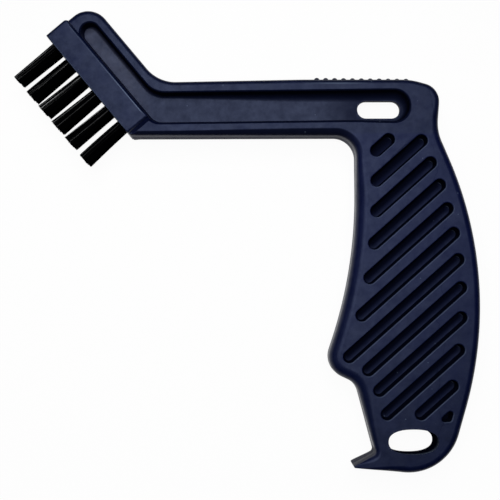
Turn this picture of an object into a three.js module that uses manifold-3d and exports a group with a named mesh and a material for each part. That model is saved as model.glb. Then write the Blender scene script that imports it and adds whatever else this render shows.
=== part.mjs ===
// Buffing wheel cleaning brush: a moulded pistol-grip handle with two rows of staple-set nylon tufts.
// It lies on its side: X runs along the arm, Y up the grip, Z out of the side face.
// The outline is drawn from a datum at the inner corner of the handle, just inside the underside of the arm
// and the finger side of the grip, and from the parting plane of the mould (Z = 0).
import * as THREE from "three";
import { mergeVertices } from "three/addons/utils/BufferGeometryUtils.js";
import Module from "manifold-3d";

// Thickness of the handle across the parting plane, in millimetres
const ARM_THICKNESS = 15;
const GRIP_THICKNESS = 16;
const BLOCK_THICKNESS = 20;

// Arm: a beam of I section from the grip to the head
const ARM_REACH = 91.9;
const ARM_HEIGHT = 22.1;
const ARM_TOP_SLOPE = 1.1;
const CREST_X = -22;
const CREST_RADIUS = 150;
const ARM_EDGE = 2;
const UNDERSIDE_DROP = 0.3;
const UNDERSIDE_END_GAP = 6.9;
const UNDERSIDE_END_DROP = 0.38;
const UNDERSIDE_RADIUS = 150;
const UNDERSIDE_EDGE = 2.6;

// Head: the end of the arm, bent down, with the brush block on its front
const HEAD_LEAN = 50;
const HEAD_DEPTH = 22.6;
const HEAD_END_RADIUS = 9;
const BEND_RADIUS = 15;
const BLOCK_LENGTH = 50.8;
const BLOCK_DEPTH = 10.6;
const BLOCK_LAP = 1;
const HEAD_END_STEP = 0.15;
const BLOCK_CORNER = 0.8;
const BLOCK_EDGE = 0.5;
const SHARP = 0.5;
const SHARP_EDGE = 0.25;

// Grip: a palm swell at the back, a finger stop in front, a scraper spur at the foot
const CROTCH_RADIUS = 8.6;
const SHOULDER_X = 21.5;
const SHOULDER_RADIUS = 28;
const TAIL_X = 33.3;
const TAIL_RISE = 18.8;
const TAIL_RADIUS = 7.5;
const WAIST_WIDTH = 32.4;
const WAIST_RISE = 1.2;
const WAIST_RADIUS = 20;
const PALM_X = 58.4;
const PALM_DROP = 58.9;
const PALM_RADIUS = 150;
const HEEL_X = 36.1;
const FOOT_DROP = 137.8;
const HEEL_RADIUS = 21;
const SPUR_TIP_X = -2.6;
const SPUR_TIP_RISE = 3.6;
const SPUR_ROOT_X = 7.4;
const SPUR_ROOT_RISE = 9.4;
const SPUR_ROOT_RADIUS = 1.6;
const SPUR_EDGE = 2.2;
const THUMB_X = -0.3;
const THUMB_DROP = 100.3;
const THUMB_RADIUS = 8;
const FINGER_STOP_X = -13.4;
const FINGER_STOP_DROP = 94.2;
const FINGER_STOP_RADIUS = 9;
const FINGER_SIDE_X = -0.35;
const FINGER_BEND_DROP = 54.2;
const FINGER_RADIUS = 185;
const GRIP_EDGE = 3.4;
const CHEEK_DROP = 0.8;

// Recess on each face of the arm and head, and the slot through its web
const RIM_BOTTOM = 5.3;
const RIM_NECK = 4.3;
const RIM_HEAD_END = 5.85;
const RECESS_HEIGHT = 11.8;
const RECESS_DEPTH = 6;
const RECESS_DRAFT = 4;
const RECESS_END_X = 21.3;
const RECESS_CORNER = 6;
const BLOCK_WALL_LAP = 0.2;
const SLOT_LENGTH = 17.4;
const SLOT_HEIGHT = 6.9;
const SLOT_LEDGE = 2;
const SLOT_END_LEDGE = 3.55;

// Blind pockets across the grip, the same on both faces
const POCKET_WIDTH = 4.8;
const POCKET_PITCH = 9.07;
const POCKET_COUNT = 12;
const POCKET_ANGLE = 41.8;
const POCKET_START = 9.9;
const POCKET_DEPTH = 6.5;
const POCKET_DRAFT = 3;
const POCKET_BORDER = 5.5;
const POCKET_TIP = 0.8;
const POCKET_TOP = 0.2;

// Hang hole at the foot of the grip
const HANG_LENGTH = 19.9;
const HANG_HEIGHT = 10.8;
const HANG_X = 22.4;
const HANG_RISE = 13.8;
const HANG_BORDER = 3.2;
const HANG_FULLNESS = 2.6;

// Thumb ribs on top of the arm
const RIB_COUNT = 11;
const RIB_PITCH = 3.62;
const RIB_RADIUS = 1.1;
const RIB_SINK = 0.05;
const RIB_CENTRE_X = 1.8;
const RIB_MARGIN = 0.5;

// Tufts and the flat wire that anchors them
const TUFT_COUNT = 6;
const TUFT_PITCH = 8.15;
const ROW_SPACING = 8;
const TUFT_HOLE_DIAMETER = 5.2;
const TUFT_HOLE_DEPTH = 7.8;
const TUFT_LENGTH = 20.6;
const TUFT_TIP_DIAMETER = 5.6;
const TUFT_TRIM = 0.4;
const FIT = 0.3;
const ANCHOR_THICKNESS = 0.5;
const ANCHOR_WIDTH = 1.8;
const ANCHOR_BITE = 0.5;
const ANCHOR_LIFT = 1.1;

// The share of a side that the roundings at its two ends may take
const SIDE_SHARE = 0.98;

// How finely round forms are faceted: the most an arc may bow past its chord, and numbers of flats
const CHORD_BOW = 0.05;
const EDGE_STEPS = 3;
const END_STEPS = 6;
const HANG_STEPS = 28;
const HOLE_SIDES = 14;
const RIB_SIDES = 12;
const RIB_END_STEPS = 3;

const wasm = await Module();
wasm.setup();

const rad = THREE.MathUtils.degToRad;
const point = (x, y) => new THREE.Vector2(x, y);

// The head is drawn in its own frame: X down the row of tufts, Y from the bristle face to the back
const headOrigin = point(
  -ARM_REACH - BLOCK_LENGTH * Math.cos(rad(HEAD_LEAN)),
  BLOCK_LENGTH * Math.sin(rad(HEAD_LEAN)),
);
const headMatrix = new THREE.Matrix4()
  .makeRotationZ(-rad(HEAD_LEAN))
  .setPosition(headOrigin.x, headOrigin.y, 0);

function onHead(x, y) {
  const p = new THREE.Vector3(x, y, 0).applyMatrix4(headMatrix);
  return point(p.x, p.y);
}

function crossing(a, toA, b, toB) {
  const t = (b.clone().sub(a)).cross(toB) / toA.cross(toB);
  return a.clone().addScaledVector(toA, t);
}

const downNeck = point(Math.cos(rad(HEAD_LEAN)), -Math.sin(rad(HEAD_LEAN)));
const alongTop = point(Math.cos(rad(ARM_TOP_SLOPE)), Math.sin(rad(ARM_TOP_SLOPE)));

// Outline corners, clockwise from the heel of the brush block; edge is the rounding onto the side face
function handleCorners() {
  const crest = point(CREST_X, ARM_HEIGHT);
  const headFront = onHead(HEAD_END_STEP, BLOCK_LAP);
  const headBack = onHead(HEAD_END_STEP, HEAD_DEPTH);
  const armEnd = point(UNDERSIDE_END_GAP - ARM_REACH, -UNDERSIDE_END_DROP);
  return [
    { at: crossing(headFront, downNeck, armEnd, point(1, 0)), radius: SHARP, edge: SHARP_EDGE },
    { at: headFront, radius: SHARP, edge: SHARP_EDGE },
    { at: headBack, radius: HEAD_END_RADIUS, edge: ARM_EDGE },
    { at: crossing(headBack, downNeck, crest, alongTop), radius: BEND_RADIUS, edge: ARM_EDGE },
    { at: crest, radius: CREST_RADIUS, edge: ARM_EDGE },
    { at: point(SHOULDER_X, ARM_HEIGHT), radius: SHOULDER_RADIUS, edge: ARM_EDGE },
    { at: point(TAIL_X, TAIL_RISE), radius: TAIL_RADIUS, edge: ARM_EDGE },
    { at: point(WAIST_WIDTH, WAIST_RISE), radius: WAIST_RADIUS, edge: GRIP_EDGE },
    { at: point(PALM_X, -PALM_DROP), radius: PALM_RADIUS, edge: GRIP_EDGE },
    { at: point(HEEL_X, -FOOT_DROP), radius: HEEL_RADIUS, edge: GRIP_EDGE },
    { at: point(SPUR_TIP_X, SPUR_TIP_RISE - FOOT_DROP), radius: SHARP, edge: SHARP_EDGE },
    { at: point(SPUR_ROOT_X, SPUR_ROOT_RISE - FOOT_DROP), radius: SPUR_ROOT_RADIUS, edge: SPUR_EDGE },
    { at: point(THUMB_X, -THUMB_DROP), radius: THUMB_RADIUS, edge: GRIP_EDGE },
    { at: point(FINGER_STOP_X, -FINGER_STOP_DROP), radius: FINGER_STOP_RADIUS, edge: GRIP_EDGE },
    { at: point(FINGER_SIDE_X, -FINGER_BEND_DROP), radius: FINGER_RADIUS, edge: GRIP_EDGE },
    { at: point(FINGER_SIDE_X, -UNDERSIDE_DROP), radius: CROTCH_RADIUS, edge: UNDERSIDE_EDGE },
    { at: armEnd, radius: UNDERSIDE_RADIUS, edge: UNDERSIDE_EDGE },
  ];
}

// Round every corner of a closed polygon; a radius gives way where its two sides are too short for it
function roundCorners(corners) {
  const count = corners.length;
  const sides = corners.map((corner, i) => {
    const next = corners[(i + 1) % count].at;
    const way = next.clone().sub(corner.at);
    return { length: way.length(), way: way.normalize() };
  });
  const turns = corners.map((corner, i) => {
    const before = sides[(i + count - 1) % count].way;
    return Math.atan2(before.cross(sides[i].way), before.dot(sides[i].way));
  });
  const wanted = corners.map((corner, i) => corner.radius * Math.tan(Math.abs(turns[i]) / 2));
  const share = sides.map((side, i) => {
    const both = wanted[i] + wanted[(i + 1) % count];
    return Math.min(1, (SIDE_SHARE * side.length) / both);
  });
  const ring = [];
  corners.forEach((corner, i) => {
    const before = sides[(i + count - 1) % count].way;
    const tangent = wanted[i] * Math.min(share[i], share[(i + count - 1) % count]);
    const radius = tangent / Math.tan(Math.abs(turns[i]) / 2);
    const start = corner.at.clone().addScaledVector(before, -tangent);
    const widest = 2 * Math.acos(Math.max(0, 1 - CHORD_BOW / radius));
    const steps = Math.max(2, Math.ceil(Math.abs(turns[i]) / widest));
    const side = Math.sign(turns[i]);
    const centre = start.clone().add(point(-before.y, before.x).multiplyScalar(side * radius));
    const spoke = start.clone().sub(centre);
    for (let k = 0; k <= steps; k += 1) {
      const turned = spoke.clone().rotateAround(point(0, 0), (turns[i] * k) / steps);
      ring.push({ at: centre.clone().add(turned), edge: corner.edge });
    }
  });
  return ring;
}

// Inward normals of a clockwise ring, lengthened at corners so that an inset keeps its distance
function inwardNormals(ring) {
  return ring.map((node, i) => {
    const before = ring[(i + ring.length - 1) % ring.length].at;
    const after = ring[(i + 1) % ring.length].at;
    const a = node.at.clone().sub(before).normalize();
    const b = after.clone().sub(node.at).normalize();
    const mitre = point(a.y + b.y, -a.x - b.x).normalize();
    return mitre.divideScalar(mitre.dot(point(b.y, -b.x)));
  });
}

// A closed skin through rings of equal length, from the lowest to the highest, with flat ends
function loft(rings) {
  const count = rings[0].length;
  const positions = rings.flatMap((ring) => ring.flatMap((p) => [p.x, p.y, p.z]));
  const index = [];
  for (let r = 0; r + 1 < rings.length; r += 1) {
    for (let i = 0; i < count; i += 1) {
      const a = r * count + i;
      const b = r * count + ((i + 1) % count);
      index.push(a, a + count, b, b, a + count, b + count);
    }
  }
  const top = (rings.length - 1) * count;
  const flat = (ring) => ring.map((p) => point(p.x, p.y));
  const lids = (ring) => THREE.ShapeUtils.triangulateShape(flat(ring), []);
  lids(rings[0]).forEach(([a, b, c]) => index.push(...lidOrder(rings[0], a, b, c, -1)));
  lids(rings.at(-1)).forEach(([a, b, c]) => {
    index.push(...lidOrder(rings.at(-1), a, b, c, 1).map((i) => i + top));
  });
  const geometry = new THREE.BufferGeometry();
  geometry.setAttribute("position", new THREE.Float32BufferAttribute(positions, 3));
  geometry.setIndex(index);
  return geometry;
}

// Corner order that turns a lid triangle up (facing 1) or down (facing -1)
function lidOrder(ring, a, b, c, facing) {
  const ab = point(ring[b].x - ring[a].x, ring[b].y - ring[a].y);
  const ac = point(ring[c].x - ring[a].x, ring[c].y - ring[a].y);
  return ab.cross(ac) * facing > 0 ? [a, b, c] : [a, c, b];
}

// A plate with the outline's own edge rounding on both faces
function roundedPlate(ring, thickness) {
  const normals = inwardNormals(ring);
  const half = [];
  for (let k = 0; k <= EDGE_STEPS; k += 1) {
    const angle = (Math.PI / 2) * (k / EDGE_STEPS);
    half.push({ inset: 1 - Math.cos(angle), drop: 1 - Math.sin(angle) });
  }
  const level = (side) => ({ inset, drop }) => ring.map((node, i) => {
    const at = node.at.clone().addScaledVector(normals[i], node.edge * inset);
    return new THREE.Vector3(at.x, at.y, side * (thickness / 2 - node.edge * drop));
  });
  return loft([...half.map(level(-1)).reverse(), ...half.map(level(1))]);
}

// A cutter with drafted walls that goes into the upper face down to a floor
function draftedCut(ring, face, depth, draft) {
  const normals = inwardNormals(ring);
  const slope = Math.tan(rad(draft));
  const over = 1;
  const level = (z, inset) => ring.map((node, i) => {
    const at = node.at.clone().addScaledVector(normals[i], inset);
    return new THREE.Vector3(at.x, at.y, z);
  });
  return loft([level(face - depth, depth * slope), level(face + over, -over * slope)]);
}

// Clockwise ring round discs of one radius; two centres give a slot with round ends
function hullRing(centres, radius) {
  const count = centres.length;
  const ring = [];
  centres.forEach((centre, i) => {
    const before = centres[(i + count - 1) % count];
    const after = centres[(i + 1) % count];
    const start = centre.clone().sub(before).angle() + Math.PI / 2;
    const end = after.clone().sub(centre).angle() + Math.PI / 2;
    const turn = THREE.MathUtils.euclideanModulo(start - end, 2 * Math.PI);
    const steps = Math.ceil((turn / Math.PI) * END_STEPS);
    for (let k = 0; k <= steps; k += 1) {
      const angle = start - (turn * k) / steps;
      ring.push({ at: centre.clone().add(point(Math.cos(angle), Math.sin(angle)).multiplyScalar(radius)) });
    }
  });
  return ring;
}

// Solids for joining and cutting
function solid(geometry) {
  geometry.deleteAttribute("normal");
  geometry.deleteAttribute("uv");
  const merged = mergeVertices(geometry, 1e-4);
  const index = merged.index.array;
  const kept = [];
  for (let i = 0; i < index.length; i += 3) {
    const [a, b, c] = [index[i], index[i + 1], index[i + 2]];
    if (a !== b && b !== c && c !== a) {
      kept.push(a, b, c);
    }
  }
  return new wasm.Manifold(new wasm.Mesh({
    numProp: 3,
    vertProperties: new Float32Array(merged.attributes.position.array),
    triVerts: new Uint32Array(kept),
  }));
}

function geometryOf(body) {
  const mesh = body.getMesh();
  const geometry = new THREE.BufferGeometry();
  geometry.setAttribute("position", new THREE.BufferAttribute(mesh.vertProperties, 3));
  geometry.setIndex(new THREE.BufferAttribute(mesh.triVerts, 1));
  geometry.computeVertexNormals();
  return geometry;
}

// The same cut on both faces
function cutBothFaces(body, makeCutter) {
  const turnOver = new THREE.Matrix4().makeScale(1, 1, -1);
  const near = makeCutter();
  const far = makeCutter().applyMatrix4(turnOver);
  far.setIndex(Array.from(far.index.array).reverse());
  return body.subtract(solid(near)).subtract(solid(far));
}

const outline = roundCorners(handleCorners());

// Distance from a point to the outline: positive inside the handle, negative outside
function depthInside(p) {
  let nearest = Infinity;
  let inside = false;
  outline.forEach((node, i) => {
    const a = node.at;
    const b = outline[(i + 1) % outline.length].at;
    const side = b.clone().sub(a);
    const along = THREE.MathUtils.clamp(p.clone().sub(a).dot(side) / side.lengthSq(), 0, 1);
    nearest = Math.min(nearest, p.distanceTo(a.clone().addScaledVector(side, along)));
    const spans = (a.y > p.y) !== (b.y > p.y);
    if (spans && p.x < a.x + (side.x * (p.y - a.y)) / side.y) {
      inside = !inside;
    }
  });
  return inside ? nearest : -nearest;
}

const hangCentre = point(HANG_X, HANG_RISE - FOOT_DROP);
const pocketFloorLine = hangCentre.y + HANG_HEIGHT / 2 + HANG_BORDER;

// How much room a pocket edge has at a point: to the grip's border, the arm above and the hang hole below
function pocketRoom(p) {
  return Math.min(depthInside(p) - POCKET_BORDER, POCKET_TOP - p.y, p.y - pocketFloorLine);
}

// The stretch of a line, from a starting point both ways, that keeps a given room
function roomyStretch(start, way, room) {
  const step = 0.2;
  return [1, -1].map((sense) => {
    const p = start.clone();
    while (pocketRoom(p) >= room) {
      p.addScaledVector(way, sense * step);
    }
    return p.addScaledVector(way, -sense * step);
  });
}

const pocketWay = point(Math.cos(rad(POCKET_ANGLE)), Math.sin(rad(POCKET_ANGLE)));
const acrossPockets = point(pocketWay.y, -pocketWay.x);

// The point with the most room on a line that runs the way of the pockets
function roomiest(offset) {
  const reach = FOOT_DROP;
  const samples = 400;
  let best = null;
  for (let k = 0; k <= samples; k += 1) {
    const p = acrossPockets.clone().multiplyScalar(offset);
    p.addScaledVector(pocketWay, reach * ((2 * k) / samples - 1));
    if (best === null || pocketRoom(p) > pocketRoom(best)) {
      best = p;
    }
  }
  return best;
}

// Pockets run from border to border; where the last strip is too short for one, a small corner pocket stays
function pocketRings() {
  const rings = [];
  for (let i = 0; i < POCKET_COUNT; i += 1) {
    const offset = POCKET_START + i * POCKET_PITCH;
    const start = roomiest(offset);
    const edgeStart = roomiest(offset - POCKET_WIDTH / 2 + POCKET_TIP);
    if (pocketRoom(start) >= POCKET_WIDTH / 2) {
      const [to, from] = roomyStretch(start, pocketWay, POCKET_WIDTH / 2);
      rings.push(hullRing([from, to], POCKET_WIDTH / 2));
    } else if (pocketRoom(edgeStart) > POCKET_TIP) {
      const [to, from] = roomyStretch(edgeStart, pocketWay, POCKET_TIP);
      const foot = roomyStretch(edgeStart, acrossPockets, POCKET_TIP)[0];
      rings.push(hullRing([from, to, foot], POCKET_TIP));
    }
  }
  return rings;
}

// Recess outline: along the arm under the rim, round the bend and up the neck behind the block
function recessRing() {
  const level = point(1, 0);
  const bottom = point(0, RIM_BOTTOM);
  const top = point(0, RIM_BOTTOM + RECESS_HEIGHT);
  const front = BLOCK_DEPTH - BLOCK_WALL_LAP;
  const back = HEAD_DEPTH - RIM_NECK;
  const headEnd = HEAD_END_STEP + RIM_HEAD_END;
  return roundCorners([
    { at: crossing(onHead(0, front), downNeck, bottom, level), radius: RECESS_CORNER },
    { at: onHead(headEnd, front), radius: (back - front) / 2 },
    { at: onHead(headEnd, back), radius: (back - front) / 2 },
    { at: crossing(onHead(0, back), downNeck, top, level), radius: BEND_RADIUS + RIM_NECK },
    { at: point(RECESS_END_X, top.y), radius: RECESS_HEIGHT / 2 },
    { at: point(RECESS_END_X, bottom.y), radius: RECESS_HEIGHT / 2 },
  ]);
}

function slotThroughWeb() {
  const radius = SLOT_HEIGHT / 2;
  const end = RECESS_END_X - SLOT_END_LEDGE;
  const middle = RIM_BOTTOM + SLOT_LEDGE + radius;
  const centres = [point(end - SLOT_LENGTH + radius, middle), point(end - radius, middle)];
  return draftedCut(hullRing(centres, radius), ARM_THICKNESS / 2, ARM_THICKNESS + 1, 0);
}

// Hang hole: an oval between an ellipse and a slot
function hangHole() {
  const ring = [];
  const oval = (v) => Math.sign(v) * Math.abs(v) ** (2 / HANG_FULLNESS);
  for (let k = 0; k < HANG_STEPS; k += 1) {
    const angle = (-2 * Math.PI * k) / HANG_STEPS;
    const reach = point((HANG_LENGTH / 2) * oval(Math.cos(angle)), (HANG_HEIGHT / 2) * oval(Math.sin(angle)));
    ring.push({ at: hangCentre.clone().add(reach) });
  }
  return draftedCut(ring, GRIP_THICKNESS / 2, GRIP_THICKNESS + 1, 0);
}

function brushBlock() {
  const ring = roundCorners([
    point(0, 0),
    point(0, BLOCK_DEPTH),
    point(BLOCK_LENGTH, BLOCK_DEPTH),
    point(BLOCK_LENGTH, 0),
  ].map((at) => ({ at, radius: BLOCK_CORNER, edge: BLOCK_EDGE })));
  return roundedPlate(ring, BLOCK_THICKNESS).applyMatrix4(headMatrix);
}

// Thumb ribs lie across the top of the arm, clear of its rounded edges
function thumbRib(i) {
  const x = RIB_CENTRE_X + (i - (RIB_COUNT - 1) / 2) * RIB_PITCH;
  const top = ARM_HEIGHT - Math.max(0, CREST_X - x) * Math.tan(rad(ARM_TOP_SLOPE));
  const length = ARM_THICKNESS - 2 * (ARM_EDGE + RIB_MARGIN + RIB_RADIUS);
  const rib = new THREE.CapsuleGeometry(RIB_RADIUS, length, RIB_END_STEPS, RIB_SIDES);
  rib.rotateX(Math.PI / 2);
  return rib.translate(x, top - RIB_SINK, 0);
}

// Places of the tufts on the bristle face, in the head's frame
function tuftPlaces() {
  const first = (BLOCK_LENGTH - (TUFT_COUNT - 1) * TUFT_PITCH) / 2;
  const places = [];
  for (const [row, side] of [["front", 1], ["rear", -1]]) {
    for (let i = 0; i < TUFT_COUNT; i += 1) {
      const at = new THREE.Vector3(first + i * TUFT_PITCH, 0, (side * ROW_SPACING) / 2);
      places.push({ label: `${row}_${i + 1}`, at });
    }
  }
  return places;
}

const anchorMiddle = TUFT_HOLE_DEPTH - FIT - ANCHOR_LIFT - ANCHOR_WIDTH / 2;
const anchorLength = TUFT_HOLE_DIAMETER + 2 * ANCHOR_BITE;

// The flat wire lies across the hole; a seat round it is larger by the fit on every side
function anchorBar(play) {
  const bar = new THREE.BoxGeometry(
    anchorLength + 2 * play,
    ANCHOR_WIDTH + 2 * play,
    ANCHOR_THICKNESS + 2 * play,
  );
  return bar.translate(0, anchorMiddle, 0);
}

// A tuft is folded round its anchor, leaves the hole and spreads a little up to its trimmed tip
function tuftGeometry() {
  const inHole = TUFT_HOLE_DIAMETER / 2 - FIT;
  const tip = TUFT_TIP_DIAMETER / 2;
  const profile = [
    point(0, -TUFT_LENGTH),
    point(tip - TUFT_TRIM, -TUFT_LENGTH),
    point(tip, -TUFT_LENGTH + TUFT_TRIM),
    point((inHole + tip) / 2, -TUFT_LENGTH / 2),
    point(inHole, 0),
    point(inHole, TUFT_HOLE_DEPTH - FIT - TUFT_TRIM),
    point(inHole - TUFT_TRIM, TUFT_HOLE_DEPTH - FIT),
    point(0, TUFT_HOLE_DEPTH - FIT),
  ];
  const body = solid(new THREE.LatheGeometry(profile, HOLE_SIDES));
  return geometryOf(body.subtract(solid(anchorBar(FIT))));
}

function tuftHole(at) {
  const mouth = 1;
  const hole = new THREE.CylinderGeometry(
    TUFT_HOLE_DIAMETER / 2,
    TUFT_HOLE_DIAMETER / 2,
    TUFT_HOLE_DEPTH + mouth,
    HOLE_SIDES,
  );
  hole.translate(0, (TUFT_HOLE_DEPTH - mouth) / 2, 0);
  const bored = solid(hole).add(solid(anchorBar(FIT)));
  return solid(geometryOf(bored).translate(at.x, at.y, at.z).applyMatrix4(headMatrix));
}

// The part of a plate above (side 1) or below (side -1) the line where the cheeks of the grip begin.
// The reach is in whole millimetres, so that both halves end on exactly the same plane.
function halfPlate(thickness, side) {
  const reach = 2 * Math.ceil(ARM_REACH + BLOCK_LENGTH + FOOT_DROP);
  const half = new THREE.BoxGeometry(reach, reach, reach).translate(0, (side * reach) / 2, 0);
  half.translate(0, -CHEEK_DROP, 0);
  return solid(roundedPlate(outline, thickness)).intersect(solid(half));
}

function handleGeometry() {
  let body = halfPlate(ARM_THICKNESS, 1).add(halfPlate(GRIP_THICKNESS, -1));
  body = cutBothFaces(body, () => draftedCut(recessRing(), ARM_THICKNESS / 2, RECESS_DEPTH, RECESS_DRAFT));
  for (const ring of pocketRings()) {
    body = cutBothFaces(body, () => draftedCut(ring, GRIP_THICKNESS / 2, POCKET_DEPTH, POCKET_DRAFT));
  }
  body = body.subtract(solid(slotThroughWeb())).subtract(solid(hangHole()));
  body = body.add(solid(brushBlock()));
  for (let i = 0; i < RIB_COUNT; i += 1) {
    body = body.add(solid(thumbRib(i)));
  }
  for (const { at } of tuftPlaces()) {
    body = body.subtract(tuftHole(at));
  }
  return geometryOf(body);
}

const navyPolypropylene = new THREE.MeshStandardMaterial({ color: 0x2c3352, roughness: 0.45, metalness: 0 });
const blackNylon = new THREE.MeshStandardMaterial({ color: 0x121316, roughness: 0.4, metalness: 0 });
const anchorWire = new THREE.MeshStandardMaterial({ color: 0x9c9a92, roughness: 0.35, metalness: 1 });

function named(name, geometry, material) {
  const mesh = new THREE.Mesh(geometry, material);
  mesh.name = name;
  return mesh;
}

const brush = new THREE.Group();
brush.add(named("moulded_handle", handleGeometry(), navyPolypropylene));

const head = new THREE.Group();
head.applyMatrix4(headMatrix);
brush.add(head);

const tuft = tuftGeometry();
const anchor = anchorBar(0);
for (const { label, at } of tuftPlaces()) {
  const station = new THREE.Group();
  station.position.copy(at);
  station.add(named(`tuft_${label}`, tuft, blackNylon));
  station.add(named(`anchor_${label}`, anchor, anchorWire));
  head.add(station);
}

// The origin is under the middle of the brush as it lies on its side
const box = new THREE.Box3().setFromObject(brush, true);
const middle = box.getCenter(new THREE.Vector3());
brush.position.set(-middle.x, -middle.y, -box.min.z);

const part = new THREE.Group();
part.add(brush);

export default part;
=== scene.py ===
# %% [markdown]
# # A brush for cleaning buffing wheels
# The real brush is one navy moulding with twelve black tufts stapled into its head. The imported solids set
# its place and its outer size. This lesson lays a fine skin over them: a handle with rounded edges, ribs
# and pockets, tufts of separate filaments, and the finishes of the plastics.

# %% Load the solids
import math

import bmesh
import bpy
import numpy as np
from mathutils import Matrix, Vector
from mathutils.geometry import delaunay_2d_cdt


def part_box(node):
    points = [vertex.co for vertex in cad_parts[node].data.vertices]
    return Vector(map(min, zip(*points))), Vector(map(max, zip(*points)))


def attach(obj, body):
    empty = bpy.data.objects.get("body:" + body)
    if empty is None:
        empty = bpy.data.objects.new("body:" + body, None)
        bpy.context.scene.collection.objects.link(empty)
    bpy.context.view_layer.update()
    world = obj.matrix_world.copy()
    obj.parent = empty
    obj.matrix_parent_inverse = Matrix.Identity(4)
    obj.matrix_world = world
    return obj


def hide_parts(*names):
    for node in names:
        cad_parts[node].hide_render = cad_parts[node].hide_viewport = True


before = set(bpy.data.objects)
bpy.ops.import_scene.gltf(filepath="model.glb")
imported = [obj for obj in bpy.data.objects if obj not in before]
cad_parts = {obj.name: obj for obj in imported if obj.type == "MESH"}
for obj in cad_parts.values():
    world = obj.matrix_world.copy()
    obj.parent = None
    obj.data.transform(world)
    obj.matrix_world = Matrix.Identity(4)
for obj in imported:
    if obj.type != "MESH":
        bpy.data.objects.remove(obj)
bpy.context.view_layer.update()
MM = 0.001


# %% [markdown]
# ## Small helpers
# Materials and Geometry Nodes are both trees of nodes, so one function adds a node to either, sets its
# options and fills its inputs. A kind without a prefix is a shader node, and a node given as an input
# stands for its first output in use. Colours are sRGB hex values, as a colour picker shows them, and one
# function makes them linear for Blender.

# %% Helpers
def add(tree, kind, inputs=None, **settings):
    node = tree.nodes.new(kind if "Node" in kind else f"ShaderNode{kind}")
    for name, value in settings.items():
        setattr(node, name, value)
    for key, value in (inputs or {}).items():
        if isinstance(value, bpy.types.Node):
            value = next(output for output in value.outputs if output.enabled)
        if isinstance(value, bpy.types.NodeSocket):
            tree.links.new(value, node.inputs[key])
        else:
            node.inputs[key].default_value = value
    return node


def linear(colour):
    channels = [int(colour[i:i + 2], 16) / 255 for i in (1, 3, 5)]
    return [c / 12.92 if c <= 0.04045 else ((c + 0.055) / 1.055) ** 2.4 for c in channels] + [1.0]


def new_material(name):
    material = bpy.data.materials.new(name)
    material.use_nodes = True
    material.node_tree.nodes.clear()
    return material, material.node_tree


def linked(name, mesh):
    piece = bpy.data.objects.new(name, mesh)
    bpy.context.collection.objects.link(piece)
    return piece


print("mid grey in linear light:", round(linear("#808080")[0], 3))

# %% [markdown]
# ## Rounded outlines
# Seen from the side, every form of this brush is a polygon with rounded corners. A corner has two radii:
# one in the outline, and one that rounds the edge onto the side face and blends from corner to corner.

# %% Rounded outlines
POINT_SPACING = 0.8
TURN_STEP = math.radians(7)
SAME_PLACE = 0.001


def spokes(angles):
    return np.column_stack([np.cos(angles), np.sin(angles)])


def crossing(a, way_a, b, way_b):
    s, _ = np.linalg.solve(np.column_stack([way_a, -np.asarray(way_b)]), np.asarray(b) - a)
    return a + s * np.asarray(way_a)


def ease(t):
    t = np.clip(t, 0, 1)
    return t * t * (3 - 2 * t)


def rounded(corners):
    """Points of a clockwise polygon of (place, radius, edge) corners, and the edge radius at each point."""
    places = [np.asarray(place, float) for place, _, _ in corners]
    arcs = []
    for i, (_, radius, edge) in enumerate(corners):
        into = places[i] - places[i - 1]
        out = places[(i + 1) % len(places)] - places[i]
        into, out = into / np.linalg.norm(into), out / np.linalg.norm(out)
        turn = math.atan2(into[0] * out[1] - into[1] * out[0], into @ out)
        start = places[i] - into * radius * math.tan(abs(turn) / 2)
        side = math.copysign(1, turn)
        centre = start + side * radius * np.array([-into[1], into[0]])
        steps = max(2, math.ceil(abs(turn) / TURN_STEP), math.ceil(radius * abs(turn) / POINT_SPACING))
        angles = math.atan2(*(start - centre)[::-1]) + np.linspace(0, turn, steps + 1)
        arcs.append((centre + radius * spokes(angles), edge))
    points, edges = [], []
    for (arc, edge), (next_arc, next_edge) in zip(arcs, arcs[1:] + arcs[:1]):
        points.append(arc)
        edges.append(np.full(len(arc), edge))
        gap = np.linalg.norm(next_arc[0] - arc[-1])
        steps = max(1, math.ceil(gap / POINT_SPACING))
        t = np.arange(1, steps)[:, None] / steps
        points.append(arc[-1] + t * (next_arc[0] - arc[-1]))
        edges.append(edge + (next_edge - edge) * ease(t[:, 0]))
    points, edges = np.vstack(points), np.concatenate(edges)
    apart = np.linalg.norm(np.roll(points, -1, axis=0) - points, axis=1) > SAME_PLACE
    return points[apart], edges[apart]


def inward(places):
    """Unit steps into a clockwise ring, lengthened at corners so that an inset keeps its distance."""
    ahead = np.roll(places, -1, axis=0) - places
    ahead /= np.linalg.norm(ahead, axis=1)[:, None]
    into = np.column_stack([ahead[:, 1], -ahead[:, 0]])
    mitre = into + np.roll(into, 1, axis=0)
    mitre /= np.linalg.norm(mitre, axis=1)[:, None]
    return mitre / np.sum(mitre * into, axis=1)[:, None]


print("steps in a right angle:", math.ceil(math.pi / 2 / TURN_STEP))

# %% [markdown]
# ## The outline of the handle
# Head, arm and grip make one outline, drawn in millimetres from the inner corner under the arm. The grip
# is rounded generously for the hand, the arm less, and the scraper spur stays sharp. The upper and the
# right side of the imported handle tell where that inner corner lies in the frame.

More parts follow.
